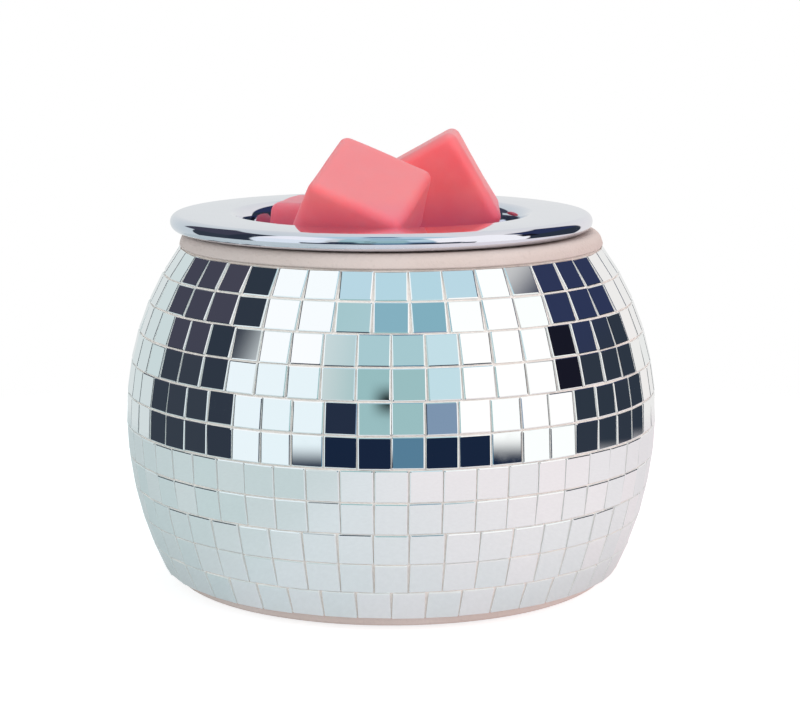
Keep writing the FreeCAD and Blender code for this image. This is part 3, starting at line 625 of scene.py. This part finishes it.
# %% The tile tree
class Tree:
    """A Geometry Nodes tree with named inputs."""

    def __init__(self, name, inputs):
        self.group = bpy.data.node_groups.new(name, "GeometryNodeTree")
        face = self.group.interface
        face.new_socket("Geometry", in_out="INPUT", socket_type="NodeSocketGeometry")
        for title, kind in inputs:
            face.new_socket(title, in_out="INPUT", socket_type=f"NodeSocket{kind}")
        face.new_socket("Geometry", in_out="OUTPUT", socket_type="NodeSocketGeometry")
        self.start = self.group.nodes.new("NodeGroupInput")

    def __getitem__(self, title):
        return self.start.outputs[title]

    def node(self, kind, settings=None, **sockets):
        """Add a node. A socket is named with underscores for blanks, or i0, i1 by its number."""
        made = self.group.nodes.new(kind)
        for name, value in (settings or {}).items():
            setattr(made, name, value)
        for name, value in sockets.items():
            numbered = name[0] == "i" and name[1:].isdigit()
            socket = made.inputs[int(name[1:]) if numbered else name.replace("_", " ")]
            for one in value if isinstance(value, list) else [value]:
                if isinstance(one, bpy.types.NodeSocket):
                    self.group.links.new(one, socket)
                else:
                    socket.default_value = one
        return made

    def math(self, operation, first, second=0.0):
        return self.node("ShaderNodeMath", {"operation": operation}, i0=first, i1=second).outputs[0]

    def vector(self, name):
        """A vector that every point carries."""
        settings = {"data_type": "FLOAT_VECTOR"}
        return self.node("GeometryNodeInputNamedAttribute", settings, Name=name).outputs[0]

    def store(self, geometry, domain, name, value):
        """Leave a number on the geometry, for the material to read."""
        settings = {"data_type": "FLOAT", "domain": domain}
        return self.node("GeometryNodeStoreNamedAttribute", settings, Geometry=geometry,
                         Name=name, Value=value).outputs[0]

    def scatter(self, limits, draw, kind="FLOAT_VECTOR"):
        """A random value for each point between two limits. Every draw has its own seed."""
        seed = self.math("ADD", self["Seed"], draw)
        made = self.node("FunctionNodeRandomValue", {"data_type": kind}, Seed=seed)
        least, most = [s for s in made.inputs if s.enabled and s.name in ("Min", "Max")]
        least.default_value, most.default_value = limits
        return next(s for s in made.outputs if s.enabled)

    def end(self, geometry, finish):
        whole = self.node("GeometryNodeRealizeInstances", Geometry=geometry)
        coated = self.node("GeometryNodeSetMaterial", Geometry=whole.outputs[0], Material=finish)
        self.group.links.new(coated.outputs[0], self.group.nodes.new("NodeGroupOutput").inputs[0])
        return self.group


TILE_INPUTS = [("Size", "Float"), ("Thickness", "Float"), ("Corner", "Float"), ("Bevel", "Float"),
               ("Bevel Width", "Float"), ("Seed", "Int"), ("Finish", "Material")]
# least and most: sizes, tilts in radians, shifts in metres
SIZES = ((0.985, 0.985, 1.0), (1.003, 1.003, 1.0))
TILTS = ((-0.018, -0.018, -0.008), (0.018, 0.018, 0.008))
SLIPS = ((-6e-5, -8e-5, 2e-5), (6e-5, 8e-5, 9e-5))


def one_tile(tree):
    """A tile with clipped corners and a bevel around its front."""
    size = tree["Size"]
    square = tree.node("GeometryNodeCurvePrimitiveQuadrilateral", Width=size, Height=size)
    clipped = tree.node("GeometryNodeFilletCurve", {"mode": "POLY"}, Curve=square.outputs[0],
                        Radius=tree["Corner"], Count=2)
    flat = tree.node("GeometryNodeFillCurve", {"mode": "NGONS"}, Curve=clipped.outputs[0])
    depth = tree.math("SUBTRACT", tree["Thickness"], tree["Bevel"])
    body = tree.node("GeometryNodeExtrudeMesh", Mesh=flat.outputs[0], Offset_Scale=depth)
    front = tree.node("GeometryNodeExtrudeMesh", Mesh=body.outputs["Mesh"],
                      Selection=body.outputs["Top"], Offset_Scale=tree["Bevel"])
    bevels = tree.math("MULTIPLY", tree["Bevel Width"], 2.0)
    shrink = tree.math("SUBTRACT", 1.0, tree.math("DIVIDE", bevels, size))
    bevelled = tree.node("GeometryNodeScaleElements", Geometry=front.outputs["Mesh"],
                         Selection=front.outputs["Top"], Scale=shrink)
    back = tree.node("GeometryNodeFlipFaces", Mesh=flat.outputs[0])
    tile = tree.node("GeometryNodeJoinGeometry", Geometry=[back.outputs[0], bevelled.outputs[0]])
    silvered = tree.math("MAXIMUM", front.outputs["Top"], front.outputs["Side"])
    edge = tree.math("SUBTRACT", 1.0, silvered)
    tile = tree.store(tile.outputs[0], "FACE", "glass_edge", edge)
    return tree.node("GeometryNodeMergeByDistance", Geometry=tile, Distance=1e-6).outputs[0]


def tile_tree():
    """Tiles on points, each a little different in size, tilt, place and tone."""
    tree = Tree("mirror_tiles", TILE_INPUTS)
    facing = tree.node("FunctionNodeAxesToRotation", {"primary_axis": "Z", "secondary_axis": "Y"},
                       Primary_Axis=tree.vector("outward"), Secondary_Axis=tree.vector("upward"))
    sizes = tree.node("ShaderNodeVectorMath", {"operation": "MULTIPLY"},
                      i0=tree.vector("width"), i1=tree.scatter(SIZES, 0))
    laid = tree.node("GeometryNodeInstanceOnPoints", Points=tree["Geometry"],
                     Instance=one_tile(tree), Rotation=facing.outputs[0], Scale=sizes.outputs[0])
    laid = tree.node("GeometryNodeRotateInstances", Instances=laid.outputs[0],
                     Rotation=tree.scatter(TILTS, 1))
    laid = tree.node("GeometryNodeTranslateInstances", Instances=laid.outputs[0],
                     Translation=tree.scatter(SLIPS, 2))
    tone = tree.scatter((0.0, 1.0), 3, "FLOAT")
    return tree.end(tree.store(laid.outputs[0], "INSTANCE", "tile_tone", tone), tree["Finish"])


tiles = tile_tree()
print(tiles.name, len(tiles.nodes), "nodes")


# %% Lay the tiles
def point_cloud(name, places):
    """A mesh of points that know how their tiles face and how wide they are."""
    middles, normals, ups = zip(*places)
    mesh = bpy.data.meshes.new(name)
    mesh.from_pydata(middles, [], [])
    columns = {"outward": normals, "upward": ups, "width": tile_widths(places)}
    for title, column in columns.items():
        carried = mesh.attributes.new(title, "FLOAT_VECTOR", "POINT")
        carried.data.foreach_set("vector", [c for vector in column for c in vector])
    piece = bpy.data.objects.new(name, mesh)
    scene.collection.objects.link(piece)
    return piece


def grow(piece, group, values):
    """Run a tree on a piece with these inputs, and keep the plain mesh."""
    modifier = piece.modifiers.new(group.name, "NODES")
    modifier.node_group = group
    for item in group.interface.items_tree:
        if item.in_out == "INPUT" and item.name in values:
            modifier[item.identifier] = values[item.name]
    settle(piece)


for number, name in enumerate(strip_names, start=1):
    strip = point_cloud(f"{name}_tiles", strip_places[name])
    grow(strip, tiles, {"Size": TILE_SIZE * MM, "Thickness": TILE_THICK * MM,
                        "Corner": TILE_CORNER * MM, "Bevel": TILE_BEVEL * MM,
                        "Bevel Width": BEVEL_WIDTH * MM, "Seed": 10 * number, "Finish": mirror})
    dress(strip, "pot", "mirror_glass", mirror, name)

# %% [markdown]
# ## The chrome dish
#
# The dish is pressed from one sheet: a flat floor, a steep well, a wide flat flange and a
# rolled rim. Chrome shows every flat spot, so the dish is turned with many segments. Its
# finish is nearly a mirror, with the faint haze and hairlines of a thing that gets wiped.


# %% Dish
def make_chrome():
    material, shader, shade = new_finish("polished_chrome")
    haze = spots(shade, 120.0, 6.0)
    hairs = spots(shade, 900.0, 2.0, (1, 0.04, 1))
    plug(shader, Base_Color=haze.mix((0.73, 0.75, 0.82), (0.79, 0.81, 0.88)), Metallic=1.0)
    plug(shader, Roughness=haze.step(0.4, 0.8) * 0.05 + hairs.step(0.62, 0.75) * 0.03 + 0.035)
    return material


WELL_DEPTH, SHEET, BEAD = 16.0, 1.6, 2.03
WELL_FLOOR_R, WELL_MOUTH_R = 33.0, 35.2
BEND, FLOOR_BEND = 3.0, 4.6  # radii of the bends; the second is under the floor


def make_dish():
    low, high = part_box("wax_dish")
    middle = (low.x + high.x) / 2 / MM
    top, floor = high.z / MM, high.z / MM - WELL_DEPTH
    bottom, under = floor - SHEET, top - SHEET
    bead_x = (high.x - low.x) / 2 / MM - BEAD
    heel, throat = (WELL_FLOOR_R + SHEET, bottom), (WELL_MOUTH_R + SHEET, under)
    mouth, corner = (WELL_MOUTH_R, top), (WELL_FLOOR_R, floor)
    outline = [(0.0, bottom)]
    outline += soften((0.0, bottom), heel, throat, FLOOR_BEND)
    outline += soften(heel, throat, (48.0, under), BEND)
    outline += arc(bead_x, top - BEAD, BEAD, 168, 450, 28)
    outline += soften((bead_x, top), mouth, corner, BEND, 14)
    outline += soften(mouth, corner, (0.0, floor), BEND, 14)
    outline += [(0.0, floor)]
    return turn("chrome_dish", outline, 256, closed=False, axis_x=middle)


chrome = make_chrome()
dish = make_dish()
dress(dish, "dish", "chrome_plate", chrome, "wax_dish")

# %% [markdown]
# ## The wax melts
#
# Wax cubes come out of a soft plastic tray: rounded, slightly sunk in the middle of their wide
# end, a little uneven, and light goes some way into them. Each is a copy of its CAD node, remade
# as an even skin, smoothed, and pushed about by slow noise. Painted light makes what faces up
# paler, and low down by the dish a painted shade and reflection of the dish deepens the colour.
# Subsurface light and a faint painted glow do the rest.


# %% Wax
def make_wax_finish():
    material, shader, shade = new_finish("coral_wax")
    cloud = spots(shade, 90.0, 3.0)
    fine = spots(shade, 1200.0, 3.0)
    tint = cloud.step(0.3, 0.7).mix((0.93, 0.160, 0.180), (0.95, 0.205, 0.215))
    # painted light: what faces up is paler
    tint = attribute(shade, "bloom").mix(tint, (0.67, 0.217, 0.230))
    # painted shade and painted reflection of the dish: darker and more purple low down
    tint = (attribute(shade, "sunk") * 0.6).mix(tint, (0.60, 0.09, 0.21))
    # a faint painted glow that stands in for light scattered inside the wax
    plug(shader, Base_Color=tint, Emission_Color=tint, Emission_Strength=0.09)
    plug(shader, Roughness=0.34 + cloud * 0.2, Normal=bump(shade, fine + cloud, 0.10, 0.0003))
    plug(shader, Subsurface_Weight=0.7, Subsurface_Radius=(1.0, 0.30, 0.26))
    plug(shader, Subsurface_Scale=0.004, IOR=1.44)
    return material


WAX_SKIN = 0.55
# painted shade and painted reflection of the dish on the lower part of the wax
DISH_SHADE_FROM, DISH_SHADE_OVER = 6.0, 10.0  # the colour deepens from so far above the dish, over so much


def make_wax(node):
    shape = bmesh.new()
    shape.from_mesh(node.data)
    bmesh.ops.remove_doubles(shape, verts=shape.verts, dist=1e-6)
    piece = add_piece(f"{node.name}_melt", shape)
    skin = piece.modifiers.new("skin", "REMESH")
    skin.mode = "VOXEL"
    skin.voxel_size = WAX_SKIN * MM
    smooth = piece.modifiers.new("smooth", "SMOOTH")
    smooth.factor, smooth.iterations = 0.5, 3
    mesh = settle(piece)
    for vertex in mesh.vertices:
        swell = noise.noise(vertex.co * 110) * 0.16 + noise.noise(vertex.co * 320) * 0.05
        vertex.co += vertex.normal * (swell - 0.05) * MM
    crease(mesh, 180.0)
    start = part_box("wax_dish")[1].z + DISH_SHADE_FROM * MM
    # painted light: upward faces get a paler tone
    shares = {"bloom": [v.normal.z for v in mesh.vertices],
              # painted shade and painted reflection of the dish: low parts get a deeper tone
              "sunk": [(start - v.co.z) / (DISH_SHADE_OVER * MM) for v in mesh.vertices]}
    for title, values in shares.items():
        carried = mesh.attributes.new(title, "FLOAT", "POINT")
        carried.data.foreach_set("value", np.clip(values, 0.0, 1.0))
    return piece


wax = make_wax_finish()
for name in sorted(name for name in nodes if name.startswith("wax_cube")):
    dress(make_wax(nodes[name]), "wax", "coral_wax", wax, name)

# %% [markdown]
# ## The inside and the base
#
# The heater and the base keep their CAD shapes. Each finish still has the grain of its real
# material: drawn steel has fine lines, moulded plastic has tiny pits, mica has flakes. The
# function `grained` makes them all from two colours, a size of grain, a roughness and a depth.


# %% Finishes of the working parts
ALONG, UPRIGHT, FLAKES = (0.05, 1, 1), (1, 1, 0.05), (1, 1, 0.2)  # how the grain is stretched
# slot: name, dark, light, fineness of the grain, roughness, depth, and for some metal and stretch
GRAINS = {
    "base_plastic": ("moulded_black", (0.03, 0.03, 0.033), (0.055, 0.055, 0.058), 2600, 0.42, 0.5),
    "rubber": ("black_rubber", (0.022, 0.022, 0.024), (0.045, 0.045, 0.048), 1500, 0.68, 0.4),
    "cup_steel": ("drawn_steel", (0.42, 0.42, 0.43), (0.6, 0.6, 0.6), 900, 0.24, 0.25,
                  1.0, UPRIGHT),
    "plate_aluminium": ("milled_aluminium", (0.62, 0.62, 0.63), (0.78, 0.78, 0.79), 1600, 0.28, 0.3,
                        1.0, ALONG),
    "screw_steel": ("zinc_plate", (0.55, 0.54, 0.5), (0.74, 0.73, 0.69), 1800, 0.3, 0.3, 1.0),
    "brass": ("turned_brass", (0.6, 0.44, 0.17), (0.78, 0.6, 0.28), 1400, 0.28, 0.3, 1.0),
    "silicone": ("pale_silicone", (0.64, 0.62, 0.57), (0.76, 0.74, 0.69), 1100, 0.55, 0.3),
    "mica": ("pressed_mica", (0.46, 0.38, 0.26), (0.72, 0.64, 0.5), 700, 0.4, 0.5, 0.0, FLAKES),
    "heating_stone": ("fired_stone", (0.14, 0.13, 0.13), (0.24, 0.22, 0.22), 2200, 0.75, 0.6),
    "block_nylon": ("natural_nylon", (0.76, 0.75, 0.7), (0.86, 0.85, 0.81), 1500, 0.45, 0.3),
    "lead_brown": ("brown_lead", (0.16, 0.065, 0.03), (0.24, 0.11, 0.055), 1300, 0.48, 0.3),
    "lead_blue": ("blue_lead", (0.04, 0.1, 0.3), (0.08, 0.17, 0.42), 1300, 0.48, 0.3),
}
FINISHES = {slot: grained(*grain) for slot, grain in GRAINS.items()}
for row in frame["record"]["subparts"]:
    if row["material_slot"] in FINISHES:
        plain = nodes[row["node"]]
        plain.data.materials.clear()
        plain.data.materials.append(FINISHES[row["material_slot"]])
print("finishes:", len(FINISHES))
